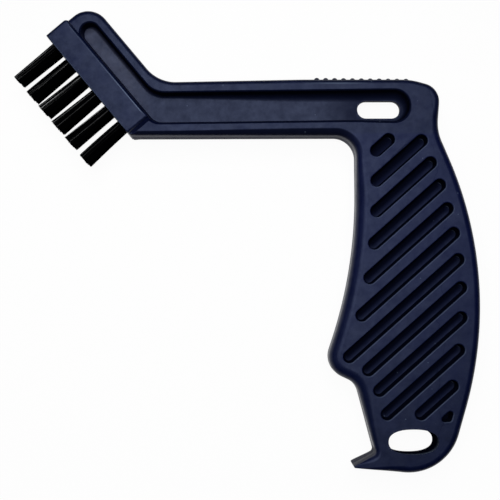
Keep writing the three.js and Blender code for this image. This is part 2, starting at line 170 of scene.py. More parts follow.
# %% Outline of the handle
ARM_HEIGHT = 22.1
ARM_SLOPE = math.radians(1.1)
ARM_REACH = 91.9
ARM_END = (-88.5, -0.38)
CREST_X = -22.0
RIBS_END_X = 21.5
HEAD_LEAN = math.radians(50)
HEAD_DEPTH = 22.6
HEAD_END_STEP = 0.15
BLOCK_LENGTH = 50.8
BLOCK_DEPTH = 10.6
BLOCK_LAP = 0.3
HEEL = (33.3, 18.8)
PALM_TOP = (32.4, 1.2)
PALM = (58.4, -58.9)
FOOT = -137.9
FOOT_BACK = (36.1, FOOT)
SPUR_TIP = (-2.6, FOOT + 4.1)
SPUR_ROOT = (7.4, FOOT + 9.5)
FINGER_STOP_ROOT = (-0.3, -100.3)
FINGER_STOP = (-13.4, -94.2)
FINGER_BEND = (-0.35, -54.2)
INNER_CORNER = (-0.35, -0.3)
SHARP_RADIUS = 0.5
SHARP_EDGE = 0.25
ARM_EDGE = 2.0
UNDERSIDE_EDGE = 1.6
INNER_CORNER_EDGE = 2.8
GRIP_EDGE = 4.2
PALM_EDGE = 2.8
SPUR_EDGE = 2.2
SKIN_INSET = 0.05

down_neck = np.array([math.cos(HEAD_LEAN), -math.sin(HEAD_LEAN)])
across_head = np.array([math.sin(HEAD_LEAN), math.cos(HEAD_LEAN)])
head_origin = np.array([-ARM_REACH, 0.0]) - BLOCK_LENGTH * down_neck


def on_head(along, depth):
    return head_origin + along * down_neck + depth * across_head


level = np.array([1.0, 0.0])
up_arm = np.array([math.cos(ARM_SLOPE), math.sin(ARM_SLOPE)])
crest = np.array([CREST_X, ARM_HEIGHT])
head_front = on_head(HEAD_END_STEP, BLOCK_LAP)
head_back = on_head(HEAD_END_STEP, HEAD_DEPTH)
outline, edge_round = rounded([
    (crossing(head_front, down_neck, ARM_END, level), SHARP_RADIUS, SHARP_EDGE),
    (head_front, SHARP_RADIUS, SHARP_EDGE),
    (head_back, 9.0, ARM_EDGE),
    (crossing(head_back, down_neck, crest, up_arm), 15.0, ARM_EDGE),
    (crest, 150.0, ARM_EDGE),
    ((RIBS_END_X, ARM_HEIGHT), 28.0, ARM_EDGE),
    (HEEL, 7.5, ARM_EDGE),
    (PALM_TOP, 20.0, PALM_EDGE),
    (PALM, 150.0, PALM_EDGE),
    (FOOT_BACK, 21.0, PALM_EDGE),
    (SPUR_TIP, SHARP_RADIUS, SHARP_EDGE),
    (SPUR_ROOT, 1.6, SPUR_EDGE),
    (FINGER_STOP_ROOT, 8.0, GRIP_EDGE),
    (FINGER_STOP, 9.0, GRIP_EDGE),
    (FINGER_BEND, 185.0, GRIP_EDGE),
    (INNER_CORNER, 8.6, INNER_CORNER_EDGE),
    (ARM_END, 150.0, UNDERSIDE_EDGE),
])
handle_low, handle_high = (np.array(corner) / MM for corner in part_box("moulded_handle"))
datum = Vector((handle_high[0] - outline[:, 0].max(), handle_high[1] - outline[:, 1].max(),
                (handle_low[2] + handle_high[2]) / 2))
to_frame = Matrix.Scale(MM, 4) @ Matrix.Translation(datum)
outline += SKIN_INSET * inward(outline)
print("outline points:", len(outline), "inner corner in mm:", [round(v, 2) for v in datum])

# %% [markdown]
# ## Camera
# The photograph looks straight at the side of the brush. How much of the side walls shows towards the
# edges of the picture gives the distance of the lens, and the size of the brush in pixels gives its scale.
# The lens axis lies a little below the middle of the picture, which is a camera shift.

# %% Camera
PICTURE_SIDE = 500
AXIS_ROW = 295
MM_PER_PIXEL = 0.4077
LENS_DISTANCE = 430.0
AXIS_AT = Vector((-43.15, -64.6, LENS_DISTANCE))

camera_data = bpy.data.cameras.new("camera")
camera_data.lens = camera_data.sensor_width * LENS_DISTANCE / (MM_PER_PIXEL * PICTURE_SIDE)
camera_data.shift_y = (AXIS_ROW - PICTURE_SIDE / 2) / PICTURE_SIDE
camera = linked("camera", camera_data)
camera.location = to_frame @ AXIS_AT
bpy.context.scene.camera = camera
print("lens in mm:", round(camera_data.lens, 1))

# %% [markdown]
# ## Pale floor
# The brush lies on a pale floor that rises into a backdrop. The floor shows nearly white to the camera and
# in reflections, and still takes a part of the shadow. Black cards stand round the brush, hidden from the
# camera, and keep the rounded edges of the dark plastic dark.

# %% Floor and cards
FLOOR_MIDDLE = 0.3
FLOOR_RADIUS = 1.6
COVE_RADIUS = 0.6
COVE_STEPS = 12
BACKDROP_TOP = 2.0
PAPER_GLOW = 0.95
CARD_RADIUS = 0.17
CARD_HEIGHT = 0.12
SIDES = 96


def revolved(name, profile, closed):
    mesh = bpy.data.meshes.new(name)
    build = bmesh.new()
    angles = [2 * math.pi * k / SIDES for k in range(SIDES)]
    rings = [[build.verts.new((radius * math.cos(a), radius * math.sin(a), height)) for a in angles]
             for radius, height in profile]
    for low, high in zip(rings, rings[1:]):
        for k in range(SIDES):
            build.faces.new((low[k], low[k - 1], high[k - 1], high[k]))
    if closed:
        build.faces.new(rings[0])
    build.to_mesh(mesh)
    build.free()
    mesh.shade_smooth()
    return linked(name, mesh)


turns = [math.pi / 2 * k / COVE_STEPS for k in range(COVE_STEPS + 1)]
cove = [(FLOOR_RADIUS + COVE_RADIUS * math.sin(a), COVE_RADIUS * (1 - math.cos(a))) for a in turns]
backdrop = (FLOOR_RADIUS + COVE_RADIUS, BACKDROP_TOP)
floor = revolved("studio_floor", [(FLOOR_MIDDLE, 0.0), *cove, backdrop], closed=True)
cards = revolved("black_cards", [(CARD_RADIUS, 0.0), (CARD_RADIUS, CARD_HEIGHT)], closed=False)
cards.visible_camera = False

# White paper: an even, nearly white ground with a faint shadow under the brush
paper, tree = new_material("white_paper_sweep")
rays = add(tree, "LightPath").outputs
seen = add(tree, "Math", {0: rays["Is Camera Ray"], 1: rays["Is Glossy Ray"]}, operation="MAXIMUM")
seen = add(tree, "Math", {0: seen, 1: rays["Is Transmission Ray"]}, operation="MAXIMUM")
share = add(tree, "Math", {0: seen, 1: PAPER_GLOW}, operation="MULTIPLY")
matt = add(tree, "BsdfDiffuse", {"Color": linear("#f2f2f2")})
glow = add(tree, "Emission", {"Color": linear("#ffffff"), "Strength": 1.0})
mixed = add(tree, "MixShader", {0: share, 1: matt, 2: glow})
add(tree, "OutputMaterial", {"Surface": mixed})
floor.data.materials.append(paper)

# Black card: shows only as the dark that rounded edges reflect
card_paint, tree = new_material("black_card")
black = add(tree, "BsdfPrincipled", {"Base Color": linear("#050505"), "Roughness": 1.0})
add(tree, "OutputMaterial", {"Surface": black})
cards.data.materials.append(card_paint)
print("stage:", floor.name, cards.name)

# %% [markdown]
# ## One large softbox
# A single wide softbox hangs over the brush, a little towards its upper side, in a nearly dark room. The
# flat faces share its soft sheen, and the upper walls of the hollows stay in shadow.

# %% Light
ROOM_LEVEL = 0.03
SOFTBOX_AT = Vector((-0.02, 0.145, 0.6))
SOFTBOX_AIM = Vector((-0.02, 0.09, 0.0))
SOFTBOX_SIZE = (0.45, 0.58)
SOFTBOX_POWER = 4.25

world = bpy.data.worlds.new("dim_studio")
world.use_nodes = True
room = world.node_tree.nodes["Background"].inputs
room["Color"].default_value = linear("#ffffff")
room["Strength"].default_value = ROOM_LEVEL
bpy.context.scene.world = world
bpy.context.scene.view_settings.view_transform = "Standard"

lamp_data = bpy.data.lights.new("overhead_softbox", "AREA")
lamp_data.shape = "RECTANGLE"
lamp_data.size, lamp_data.size_y = SOFTBOX_SIZE
lamp_data.energy = SOFTBOX_POWER
softbox = linked("overhead_softbox", lamp_data)
softbox.location = SOFTBOX_AT
softbox.rotation_euler = (SOFTBOX_AIM - SOFTBOX_AT).to_track_quat("-Z", "Y").to_euler()

# %% [markdown]
# ## Navy polypropylene
# The handle is polypropylene with a navy pigment, moulded against satin steel: a broad soft sheen with
# faint clouds where the melt flowed. The hollows are duller, and painted shade, a dark colour without sheen,
# darkens their walls, parts of their floors and the walls under the arm. Pale marks on some edges are
# painted highlights, and dust greys the neck. Two attributes of the skin, finish and wear_and_highlight, say
# where each belongs. Grain and specks are drawn coarser than real ones, which are too fine to show.

# %% Handle material
SATIN_ROUGHNESS = (0.34, 0.42)
SATIN_SHEEN = 0.2
SHEEN_TINT = "#bccdff"
CORE_ROUGHNESS = 0.5
CORE_SHEEN = 0.155
PAINTED_SHADE_ROUGHNESS = 0.8
CLOUD_SIZE = 7.0
FLOW_SIZE = 4.0
DUST_SIZE = 4.0
DUST_START = -38.0
DUST_FULL = -48.0
CREASE_LOW_Y = 43.0
CREASE_HIGH_Y = 44.0
GRIP_PAINTED_SHEEN = 1.01
ARM_PAINTED_SHEEN = 1.06
GRIP_TINT = 0.22
TINT_END_Y = -80.0
TINT_FULL_Y = 0.0
WELD_SPAN_X = (55.0, 95.0)
WELD_WAVE = 30.0
WELD_WIDTH = 0.12
WELD_DULL = 0.5
SPECK_SPACING = 5.0
SPECK_SIZE = 0.06
SPECK_STRENGTH = 0.35
GRAIN_SIZE = 0.5
GRAIN_DEPTH = 0.05
GRAIN_STRENGTH = 0.08


def navy_polypropylene():
    material, tree = new_material("navy_polypropylene_moulded")
    place = add(tree, "TexCoord").outputs["Object"]
    along, up, _ = add(tree, "SeparateXYZ", {0: place}).outputs
    finish = add(tree, "Attribute", attribute_name="finish").outputs["Vector"]
    pocket, recess, painted_shade = add(tree, "SeparateXYZ", {0: finish}).outputs
    wear_and_highlight = add(tree, "Attribute", attribute_name="wear_and_highlight").outputs["Fac"]

    # Five kinds of unevenness: the size, detail, roughness and distortion of each noise
    noises = ((CLOUD_SIZE, 5.0, 0.62, 0.0), (DUST_SIZE, 6.0, 0.7, 1.0), (FLOW_SIZE, 8.0, 0.75, 0.0),
              (WELD_WAVE, 4.0, 0.5, 0.0), (GRAIN_SIZE, 3.0, 0.5, 0.0))
    cloud, swirl, flow, wave, grain = (
        add(tree, "TexNoise", {"Vector": place, "Scale": 1 / (size * MM), "Detail": detail,
                               "Roughness": roughness, "Distortion": distortion})
        for size, detail, roughness, distortion in noises)

    # Clouds of pigment; inputs 1 and 2 of a Map Range are the range it reads, 3 and 4 the one it gives
    cloudy = add(tree, "MapRange", {0: cloud, 1: 0.3, 2: 0.7})
    colour = add(tree, "Mix", {0: cloudy, 6: linear("#030820"), 7: linear("#060c29")}, data_type="RGBA")

    # A bluer tone on the grip, which fades towards its foot
    on_arm = add(tree, "MapRange", {0: up, 1: CREASE_LOW_Y * MM, 2: CREASE_HIGH_Y * MM})
    tint = add(tree, "MapRange", {0: up, 1: TINT_END_Y * MM, 2: TINT_FULL_Y * MM, 4: GRIP_TINT})
    plain = add(tree, "Math", {0: on_arm, 1: pocket}, operation="MAXIMUM")
    on_grip = add(tree, "Mix", {0: plain, 2: tint, 3: 0.0})

    # Pale marks, mostly painted highlights on edges and lips with some real wear, and single specks
    crumbs = add(tree, "TexVoronoi", {"Vector": place, "Scale": 1 / (SPECK_SPACING * MM)})
    speck = add(tree, "MapRange", {0: crumbs, 1: SPECK_SIZE, 2: 0.0, 4: SPECK_STRENGTH})
    marks = add(tree, "Math", {0: wear_and_highlight, 1: speck}, operation="MAXIMUM")

    # Patches of grey dust on the floor of the neck
    in_neck = add(tree, "MapRange", {0: along, 1: DUST_START * MM, 2: DUST_FULL * MM})
    in_recess = add(tree, "Math", {0: in_neck, 1: recess}, operation="MULTIPLY")
    patchy = add(tree, "MapRange", {0: swirl, 1: 0.3, 2: 0.7, 3: 0.35, 4: 1.1})
    dust = add(tree, "Math", {0: in_recess, 1: patchy}, operation="MULTIPLY")
    # Layers of colour: grip tone, recess floor, painted shade, pale marks that are mostly painted
    # highlights, dust
    layers = ((on_grip, "#0a1040"), (recess, "#0d1124"), (painted_shade, "#080b1a"), (marks, "#7f90ac"),
              (dust, "#2e2f3b"))
    for share, tone in layers:
        colour = add(tree, "Mix", {0: share, 6: colour, 7: linear(tone)}, data_type="RGBA")

    # Satin on the faces, duller cores, and painted shade: rough, with no sheen
    satin = add(tree, "MapRange", {0: cloudy, 3: SATIN_ROUGHNESS[0], 4: SATIN_ROUGHNESS[1]})
    polished = add(tree, "Mix", {0: pocket, 2: satin, 3: CORE_ROUGHNESS})
    rough = add(tree, "Mix", {0: painted_shade, 2: polished, 3: PAINTED_SHADE_ROUGHNESS})
    dull = add(tree, "Mix", {0: pocket, 2: SATIN_SHEEN, 3: CORE_SHEEN})
    sheen = add(tree, "Mix", {0: painted_shade, 2: dull, 3: 0.0})

    # Uneven sheen where the melt flowed, and a thin wavy line where two flows met
    uneven = add(tree, "MapRange", {0: flow, 1: 0.25, 2: 0.75, 3: 0.5, 4: 1.5})
    weld_at = add(tree, "MapRange", {0: wave, 3: WELD_SPAN_X[0] * MM, 4: WELD_SPAN_X[1] * MM})
    weld = add(tree, "Math", {0: along, 1: weld_at, 2: WELD_WIDTH * MM}, operation="COMPARE")
    seam = add(tree, "Math", {0: weld, 1: -WELD_DULL, 2: uneven}, operation="MULTIPLY_ADD")
    # Painted light: a stronger sheen on the arm than on the grip, for how the light falls on the two faces
    painted_zone_sheen = add(tree, "Mix", {0: on_arm, 2: GRIP_PAINTED_SHEEN, 3: ARM_PAINTED_SHEEN})
    by_zone = add(tree, "Math", {0: seam, 1: painted_zone_sheen}, operation="MULTIPLY")
    mottled = add(tree, "Math", {0: sheen, 1: by_zone}, operation="MULTIPLY")

    # The grain of the steel, which takes the hardness out of the reflections
    bump = add(tree, "Bump", {"Height": grain, "Strength": GRAIN_STRENGTH, "Distance": GRAIN_DEPTH * MM})
    shader = add(tree, "BsdfPrincipled", {
        "Base Color": colour, "Roughness": rough, "IOR": 1.49, "Specular IOR Level": mottled,
        "Specular Tint": linear(SHEEN_TINT), "Normal": bump,
    })
    add(tree, "OutputMaterial", {"Surface": shader})
    return material


plastic = navy_polypropylene()
print(plastic.name, "nodes:", len(plastic.node_tree.nodes))

# %% [markdown]
# ## A skin that grows ring by ring
# The handle could be cut from a plate with booleans and bevelled, but bevels fail where many edges meet.
# Here the skin is laid directly: closed rings of points, bands of faces between neighbouring rings, and
# flat caps triangulated between an outer ring and the rings of its holes. Every point carries four
# weights: the finish of a pocket and of the recess, painted shade, and wear with painted highlights.

# %% Skin builder
FACE = (0.0, 0.0, 0.0, 0.0)
POCKET = (1.0, 0.0, 0.0, 0.0)
RECESS = (0.0, 1.0, 0.0, 0.0)
# Painted shade: a dark matt colour with no sheen, laid where shade falls in the hollows and under the arm
PAINTED_SHADE = (0.0, 0.0, 1.0, 0.0)
# Pale marks: mostly painted highlights on edges and lips, with some real wear
WEAR_AND_HIGHLIGHT = (0.0, 0.0, 0.0, 1.0)
TRIANGLES_INSIDE = 1
TRIANGLE_SNAP = 1e-5


def depth_inside(places, ring):
    """Distance of each place to a ring: positive inside it, negative outside."""
    places = np.asarray(places, float)
    side = np.roll(ring, -1, axis=0) - ring
    reach = places[:, None, :] - ring[None]
    along = np.clip(np.sum(reach * side, axis=2) / np.sum(side * side, axis=1), 0, 1)
    distance = np.linalg.norm(reach - along[..., None] * side, axis=2).min(axis=1)
    after = np.roll(ring, -1, axis=0)
    spans = (ring[None, :, 1] > places[:, None, 1]) != (after[None, :, 1] > places[:, None, 1])
    rise = np.where(side[:, 1] == 0, 1, side[:, 1])
    cross = ring[:, 0] + side[:, 0] * (places[:, None, 1] - ring[:, 1]) / rise
    inside = np.sum(spans & (places[:, None, 0] < cross), axis=1) % 2 == 1
    return np.where(inside, distance, -distance)


class Skin:
    """Points and faces of a mesh, in millimetres, and the finish at every point."""

    def __init__(self):
        self.points = []
        self.faces = []
        self.finish = []

    def ring(self, places, height, finish=FACE):
        first = len(self.points)
        heights = np.broadcast_to(height, len(places))
        self.points.extend((x, y, z) for (x, y), z in zip(places, heights))
        self.finish.extend(np.broadcast_to(finish, (len(places), len(FACE))))
        return list(range(first, len(self.points)))

    def flat(self, ring):
        return np.array([self.points[i][:2] for i in ring])

    def loft(self, rings):
        for a, b in zip(rings, rings[1:]):
            self.faces.extend((a[i - 1], a[i], b[i], b[i - 1]) for i in range(len(a)))

    def shell(self, outline, levels):
        """Rings along an outline at each (inset, height, finish), and the bands between them."""
        step = inward(outline)
        rings = []
        for inset, height, finish in levels:
            inset = np.broadcast_to(inset, len(outline))
            rings.append(self.ring(outline + inset[:, None] * step, height, finish))
        self.loft(rings)
        return rings

    def cap(self, outer, holes=(), fill=(), height=0.0):
        loops = [outer, *holes]
        named = [i for loop in loops for i in loop]
        edges, first = [], 0
        for loop in loops:
            edges.extend((first + k, first + (k + 1) % len(loop)) for k in range(len(loop)))
            first += len(loop)
        named.extend(self.ring(fill, height) if len(fill) else [])
        flat = [Vector(self.points[i][:2]) for i in named]
        _, _, triangles, origin, _, _ = delaunay_2d_cdt(flat, edges, [], TRIANGLES_INSIDE, TRIANGLE_SNAP)
        triangles = np.array([[named[origin[k][0]] for k in triangle] for triangle in triangles])
        centres = np.array(self.points)[triangles][:, :, :2].mean(axis=1)
        solid = np.all([depth_inside(centres, self.flat(hole)) < 0 for hole in holes], axis=0)
        self.faces.extend(map(tuple, triangles[np.broadcast_to(solid, len(triangles))].tolist()))


def mesh_of(name, points, faces, finish, place=Matrix()):
    """A welded mesh with its faces outward and the finish as attributes."""
    mesh = bpy.data.meshes.new(name)
    mesh.from_pydata([tuple(p) for p in points], [], faces)
    finish = np.array(finish)
    mesh.attributes.new("finish", "FLOAT_VECTOR", "POINT").data.foreach_set("vector", finish[:, :3].ravel())
    mesh.attributes.new("wear_and_highlight", "FLOAT", "POINT").data.foreach_set("value", finish[:, 3])
    mesh.transform(place)
    build = bmesh.new()
    build.from_mesh(mesh)
    bmesh.ops.remove_doubles(build, verts=build.verts, dist=SAME_PLACE)
    bmesh.ops.recalc_face_normals(build, faces=build.faces)
    open_edges = sum(1 for e in build.edges if len(e.link_faces) != 2)
    build.to_mesh(mesh)
    build.free()
    print(name, "faces:", len(mesh.polygons), "open edges:", open_edges)
    return mesh


print("weights at a point:", len(FACE))

# %% [markdown]
# ## Cuts with draft
# A mould core leaves a hollow with a rounded or bevelled mouth, walls that lean so that the core can be
# drawn out, and a rounded foot. One function lays such a cut as rings from the face down to the floor.

# %% Drafted cuts
ROUND_STEPS = 7
RIM = 0.15
PAINTED_GLINT_RING = 4
quarter = [math.pi / 2 * k / ROUND_STEPS for k in range(ROUND_STEPS + 1)]


def cut(skin, ring, face, mouth, depth, draft, floor_round, wall=FACE, floor=FACE, bevel=False, lip=0.0,
        painted_glint=0.0):
    """Returns the ring of the cut on the face and its ring on the floor."""
    wall, floor = np.array(wall), np.array(floor)
    paler, painted_shine = (np.outer(np.broadcast_to(share, len(ring)), WEAR_AND_HIGHLIGHT) for share in (lip, painted_glint))
    slope = np.tan(draft)
    levels = [(-mouth - RIM, face, FACE)]
    for a in (0, quarter[-1]) if bevel else quarter:
        shaded = a / quarter[-1] * wall if bevel else FACE
        # A pale lip here is a painted highlight
        levels.append((-mouth * (1 - math.sin(a)), face - mouth * (1 - math.cos(a)), paler + shaded))
    levels.append((RIM * slope, face - mouth - RIM, wall))
    inner = depth * slope + floor_round
    above = face - depth + floor_round
    for a in quarter:
        share = (a / quarter[-1]) ** 2
        # A painted glint in the pale colour on one ring of the rounded foot
        finish = (1 - share) * wall + share * floor + painted_shine * (a == quarter[PAINTED_GLINT_RING])
        levels.append((inner - floor_round * math.cos(a), above - floor_round * math.sin(a), finish))
    levels.append((inner + RIM, face - depth, floor))
    rings = skin.shell(ring, levels)
    return rings[0], rings[-1]


def hull(centres, radius):
    """A clockwise ring round discs of one radius: two centres give a slot with round ends."""
    places = []
    for i, centre in enumerate(centres):
        before = np.subtract(centre, centres[i - 1])
        after = np.subtract(centres[(i + 1) % len(centres)], centre)
        start = math.atan2(before[1], before[0]) + math.pi / 2
        turn = (start - math.atan2(after[1], after[0]) - math.pi / 2) % (2 * math.pi)
        steps = math.ceil(turn / TURN_STEP)
        angles = start - np.linspace(0, turn, steps + 1)
        places.append(centre + radius * spokes(angles))
    return np.vstack(places)


print("rings in a rounded edge:", len(quarter))

# %% [markdown]
# ## Recess, slot and hang hole
# Moulders core out thick places so that the plastic cools evenly. The arm has a long recess on each side
# that turns up into the neck, with a slot through its thin web. The hang hole is an oval between an ellipse
# and a rectangle, a superellipse.

# %% Recess, slot and hang hole
RECESS_BOTTOM = 5.05
RECESS_HEIGHT = 12.5
RECESS_SLOPE = math.radians(0.73)
RECESS_BEND = 10.0
RECESS_CORNER = 6.0
RECESS_END_X = 21.0
BOW_X = -2.0
BOW_RISE = 0.61
BOW_RADIUS = 300.0
RIM_NECK = 4.3
RIM_HEAD_END = 5.6
BLOCK_WALL_LAP = 0.2
SLOT_LENGTH = 17.4
SLOT_HEIGHT = 7.1
SLOT_LEDGE = 2.05
SLOT_END_LEDGE = 3.2
HANG_SIZE = (20.1, 10.0)
HANG_AT = np.array([22.4, FOOT + 14.5])
HANG_DRAFT_DROP = 1.1
HANG_FULLNESS = 2.35
HANG_STEPS = 72

recess_top = np.array([0.0, RECESS_BOTTOM + RECESS_HEIGHT])
recess_bow = np.array([BOW_X, RECESS_BOTTOM + BOW_RISE])
recess_way = np.array([1.0, math.tan(RECESS_SLOPE)])
neck_front = BLOCK_DEPTH - BLOCK_WALL_LAP
neck_back = HEAD_DEPTH - RIM_NECK
neck_end = HEAD_END_STEP + RIM_HEAD_END
neck_round = (neck_back - neck_front) / 2
arm_round = RECESS_HEIGHT / 2
recess, _ = rounded([
    (crossing(on_head(0, neck_front), down_neck, recess_bow, recess_way), RECESS_CORNER, 0),
    (on_head(neck_end, neck_front), neck_round, 0),
    (on_head(neck_end, neck_back), neck_round, 0),
    (crossing(on_head(0, neck_back), down_neck, recess_top, recess_way), RECESS_BEND, 0),
    (recess_top + RECESS_END_X * recess_way, arm_round, 0),
    ((RECESS_END_X, RECESS_BOTTOM), arm_round, 0),
    (recess_bow, BOW_RADIUS, 0),
])

slot_end = RECESS_END_X - SLOT_END_LEDGE
slot_row = RECESS_BOTTOM + SLOT_LEDGE + SLOT_HEIGHT / 2
slot_ends = [(slot_end - SLOT_LENGTH + SLOT_HEIGHT / 2, slot_row), (slot_end - SLOT_HEIGHT / 2, slot_row)]
slot = hull(slot_ends, SLOT_HEIGHT / 2)

hang_unit = spokes(-2 * np.pi * np.arange(HANG_STEPS) / HANG_STEPS)
hang_oval = np.sign(hang_unit) * np.abs(hang_unit) ** (2 / HANG_FULLNESS)
hang_hole = HANG_AT + hang_oval * np.array(HANG_SIZE) / 2
hang_rear = hang_hole - np.array([0, HANG_DRAFT_DROP])
print("points of recess and slot:", len(recess), len(slot))

# %% [markdown]
# ## Pockets of the grip
# The grip has a row of blind pockets at a slant. A pocket is as long as the border of the grip leaves room
# for it, so the code walks along each strip and keeps the roomy stretch. The last strip has no room for
# the full width and gets a small three-cornered pocket.

# %% Outlines of the pockets
POCKET_WIDTH = 5.0
POCKET_PITCH = 9.07
POCKET_COUNT = 12
POCKET_ANGLE = math.radians(41.8)
POCKET_START = 10.0
POCKET_BORDER = 5.5
POCKET_TOP = 0.2
POCKET_TIP = 1.2
CORNER_SLACK = 0.75
HANG_BORDER = 3.6
WALK_STEP = 0.1


def pocket_room(places):
    lowest = HANG_AT[1] + HANG_SIZE[1] / 2 + HANG_BORDER
    border = depth_inside(places, outline) - POCKET_BORDER
    return np.minimum.reduce([border, POCKET_TOP - places[:, 1], places[:, 1] - lowest])


def roomy_stretch(start, way, room):
    """The two ends of the stretch of a line that has this room, and its roomiest place."""
    reach = np.arange(FOOT, -FOOT, WALK_STEP)
    places = start + reach[:, None] * way
    free = pocket_room(places)
    best = int(free.argmax())
    if free[best] < room:
        return None
    low = high = best
    while free[low - 1] >= room:
        low -= 1
    while free[high + 1] >= room:
        high += 1
    return places[low], places[high], places[best]


pocket_way = np.array([math.cos(POCKET_ANGLE), math.sin(POCKET_ANGLE)])
pocket_across = np.array([pocket_way[1], -pocket_way[0]])
pockets = []
for i in range(POCKET_COUNT):
    strip = POCKET_START + i * POCKET_PITCH
    stretch = roomy_stretch(strip * pocket_across, pocket_way, POCKET_WIDTH / 2)
    if stretch:
        pockets.append((hull(stretch[:2], POCKET_WIDTH / 2), POCKET_WIDTH / 2))
        continue
    corner_strip = strip - POCKET_WIDTH / 2 + POCKET_TIP
    corner = roomy_stretch(corner_strip * pocket_across, pocket_way, POCKET_TIP - CORNER_SLACK)
    foot = roomy_stretch(corner[2], pocket_across, POCKET_TIP - CORNER_SLACK)[1]
    pockets.append((hull([corner[0], corner[1], foot], POCKET_TIP), POCKET_TIP))
print("pockets:", len(pockets))

# %% [markdown]
# ## Side walls of the handle
# Both faces are alike, so one half is laid up from the parting plane and mirrored later. The walls start
# with the fine groove of the parting line and end in the rounded edge. Under the arm and on the spur they
# carry painted shade, and a paler line along the top edge of the arm is a painted highlight where the thumb
# has rubbed it smooth.

# %% Side walls
ARM_HALF = 7.5
PARTING_WIDTH = 0.15
PARTING_DEPTH = 0.05
RUB_X = -8.0
RUB_REACH = 16.0
RUB_HIGHLIGHT = 0.15
RUB_RINGS = (8, 9)
WALL_RINGS = 2
WALL_SHADE = 0.5
UNDERSIDE_SHADE = 0.85
SPUR_HEIGHT = 12.0
SPUR_END_X = 8.0

half = Skin()
# A painted highlight along the top edge of the arm, where the thumb rubs it smooth
rubbed_highlight = ease(1 - np.abs(outline[:, 0] - RUB_X) / RUB_REACH) * (outline[:, 1] > ARM_HEIGHT / 2)
underside = np.clip(inward(outline)[:, 1], 0, 1) * (outline[:, 1] > -ARM_HEIGHT)
on_spur = (outline[:, 1] < FOOT + SPUR_HEIGHT) * (outline[:, 0] < SPUR_END_X)
walls = [(PARTING_DEPTH, 0.0), (0.0, PARTING_WIDTH)]
walls += [(edge_round * (1 - math.cos(a)), ARM_HALF - edge_round * (1 - math.sin(a))) for a in quarter]
walls.append((edge_round + RIM, ARM_HALF))
levels = []
for i, (inset, height) in enumerate(walls):
    # Painted shade on the straight wall under the arm and on the spur, and on the underside's rounded edge
    dull = UNDERSIDE_SHADE * underside if i > WALL_RINGS else WALL_SHADE * np.maximum(underside, on_spur)
    finish = np.outer(dull * (i < len(walls) - 2), PAINTED_SHADE)
    finish += np.outer(RUB_HIGHLIGHT * rubbed_highlight * (i in RUB_RINGS), WEAR_AND_HIGHLIGHT)
    levels.append((inset, height, finish))
face_edge = half.shell(outline, levels)[-1]
print("rings in the side wall:", len(levels))

# %% [markdown]
# ## The recess in each face
# The recess has a bevelled mouth. Its foot is nearly sharp below and widely rounded under the upper edge,
# where shadow gathers. Its walls carry painted shade, except along the block, where the wall leans further
# and keeps the finish of the faces. Painted shade also darkens the floor round the slot and at its end.

# %% Recess
RECESS_DEPTH = 6.0
RECESS_DRAFT = math.radians(4)
BLOCK_SIDE_DRAFT = math.radians(7)
RECESS_BEVEL = 0.55
FOOT_BEVEL_GAIN = 0.45
FLOOR_ROUND = 0.4
TOP_FLOOR_ROUND = 3.4
NECK_FLOOR_ROUND = 1.0
BEND_END_X = -90.0
ROUND_GROWTH = 85.0
SHADE_WAY = np.array([0.15, 0.989])
SLOT_SHADE = 0.35
SLOT_SHADE_X = -16.0
SLOT_SHADE_REACH = 18.0
END_SHADE = 0.4
END_SHADE_REACH = 4.0

into_recess = inward(recess)
under_top = np.clip((1 - into_recess @ SHADE_WAY) / 2, 0, 1)
past_bend = ease((recess[:, 0] - BEND_END_X) / ROUND_GROWTH)
neck_side = np.clip(-into_recess @ across_head, 0, 1) * (1 - past_bend)
floor_round = FLOOR_ROUND + (TOP_FLOOR_ROUND - FLOOR_ROUND) * under_top * past_bend
floor_round += NECK_FLOOR_ROUND * neck_side
off_block = ease(((recess - head_origin) @ across_head - neck_front) / neck_round)
recess_draft = BLOCK_SIDE_DRAFT + (RECESS_DRAFT - BLOCK_SIDE_DRAFT) * off_block
recess_bevel = RECESS_BEVEL + FOOT_BEVEL_GAIN * np.clip(into_recess[:, 1], 0, 1)
# Painted shade on the walls, except along the block
recess_wall = np.outer(off_block, PAINTED_SHADE)
# Painted shade on the floor round the slot and at its end
by_slot = ease((recess[:, 0] - SLOT_SHADE_X) / SLOT_SHADE_REACH)
at_end = ease((recess[:, 0] - slot_end + END_SHADE_REACH) / END_SHADE_REACH)
unlit = np.maximum(SLOT_SHADE * by_slot, END_SHADE * at_end)
recess_finish = np.outer(1 - unlit, RECESS) + np.outer(unlit, PAINTED_SHADE)
recess_mouth, recess_floor = cut(half, recess, ARM_HALF, recess_bevel, RECESS_DEPTH, recess_draft,
                                 floor_round, recess_wall, recess_finish, bevel=True)
half.cap(recess_floor)
print("foot of the recess in mm:", round(floor_round.min(), 2), "to", round(floor_round.max(), 2))

# %% [markdown]
# ## The pockets in each face
# The upper side of a pocket has a wide foot that lies in shadow, and its lower lip carries a painted
# highlight. Walls and the upper side of each floor carry painted shade, less from pocket to pocket down
# the grip, and a painted glint marks the upper end.

# %% Pockets
GRIP_HALF = 8.0
POCKET_DEPTH = 6.5
POCKET_DRAFT = math.radians(4.5)
POCKET_MOUTH = 0.35
POCKET_FLOOR_ROUND = 0.2
POCKET_TOP_ROUND = 1.6
POCKET_LIP_HIGHLIGHT = 0.12
POCKET_PAINTED_GLINT = 0.3
GLINT_NARROWING = 8
FIRST_UNSHADED = 0.4
UNSHADED_GAIN = 0.25

